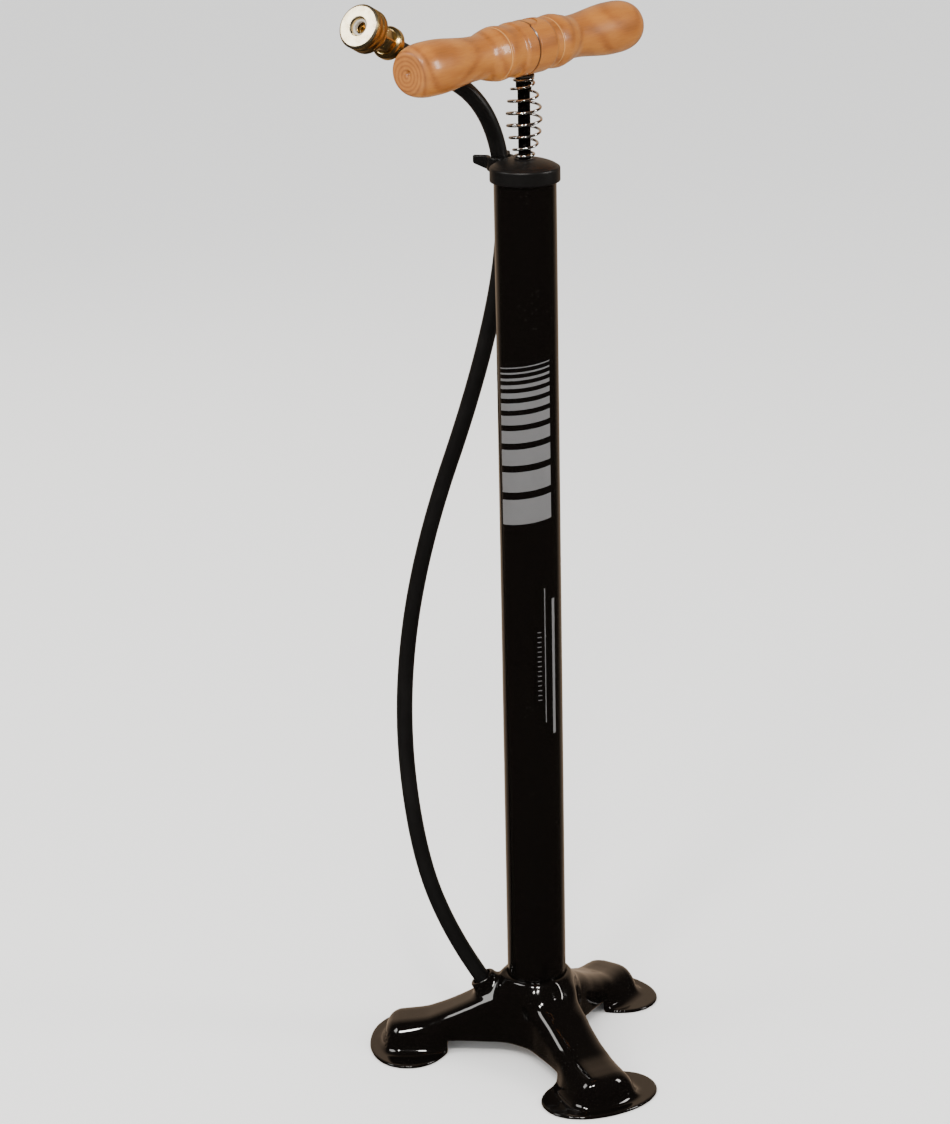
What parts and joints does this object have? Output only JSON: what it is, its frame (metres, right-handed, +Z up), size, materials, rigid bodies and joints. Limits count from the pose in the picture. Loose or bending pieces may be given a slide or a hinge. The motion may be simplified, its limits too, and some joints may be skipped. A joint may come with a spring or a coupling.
{
  "type": "floor bicycle pump",
  "caption": "Tall black steel floor pump for bicycle tyres with a pressed tripod base, turned wooden T-handle over a bumper spring, and a rubber hose with a brass screw-on connector.",
  "frame": {"origin": "on the floor, on the barrel's axis, at the middle of the tripod", "axes": "+Z up along the barrel; +X along one leg of the tripod; the hose leaves the leg 120 degrees from it"},
  "size_m": [0.2285, 0.2186, 0.7263],
  "materials": {
    "enamel": "glossy black enamel",
    "brass": "turned and polished",
    "steel": "plain",
    "plastic": "fine satin",
    "felt": "pressed felt",
    "rubber": "satin",
    "chrome": "bright",
    "black_steel": "black oxide, satin",
    "wood": "clear varnish",
    "leather": "oiled"
  },
  "bodies": {
    "stand": {"base_tripod": "enamel", "barrel_tube": "enamel", "valve_plug": "brass", "valve_screw": "brass", "valve_spring": "steel", "outlet_elbow": "brass", "top_cap": "plastic", "rod_bush": "plastic", "rod_felt": "felt", "cap_gasket": "rubber", "bumper_spring": "chrome", "hose": "rubber", "hose_ferrule": "brass", "chuck_stem": "brass", "chuck_pin": "brass"},
    "seat": {"spring_seat": "chrome"},
    "piston": {"piston_cup": "leather"},
    "rod": {"piston_rod": "black_steel", "handle_grip": "wood", "handle_plug": "wood", "handle_washer": "steel", "handle_nut": "steel", "piston_nut": "steel", "cup_spreader": "steel", "piston_plate": "steel", "piston_stop": "steel"},
    "ball": {"valve_ball": "steel"},
    "ring": {"chuck_ring": "brass", "chuck_gasket": "rubber"},
    "thrust": {"thrust_washer": "brass"}
  },
  "joints": [
    {"name": "bumper_press", "type": "slide", "parent": "stand", "child": "seat", "axis": [0, 0, 1], "range_m": [-0.015, 0], "stiffness_N_per_m": 1500, "springref_m": 0.005, "deforming": ["bumper_spring"]},
    {"name": "pump_stroke", "type": "slide", "parent": "seat", "child": "piston", "axis": [0, 0, 1], "range_m": [0, 0.48]},
    {"name": "handle_turn", "type": "hinge", "parent": "piston", "child": "rod", "pos_m": [0, 0, 0.69], "axis": [0, 0, 1], "range_deg": [-5, 70]},
    {"name": "valve_lift", "type": "slide", "parent": "stand", "child": "ball", "axis": [0, 0, -1], "range_m": [0, 0.002], "stiffness_N_per_m": 60, "springref_m": -0.002, "deforming": ["valve_spring"]},
    {"name": "ring_turn", "type": "hinge", "parent": "stand", "child": "ring", "pos_m": [-0.09231, 0.0548, 0.71086], "axis": [-0.9033, 0, 0.4289], "range_deg": [0, 120]},
    {"name": "ring_advance", "type": "slide", "parent": "stand", "child": "thrust", "axis": [-0.9033, 0, 0.4289], "range_m": [0, 0.0003]}
  ],
  "couplings": [
    {"joint": "ring_advance", "follows": "ring_turn", "m_per_rad": 0.00011937}
  ]
}
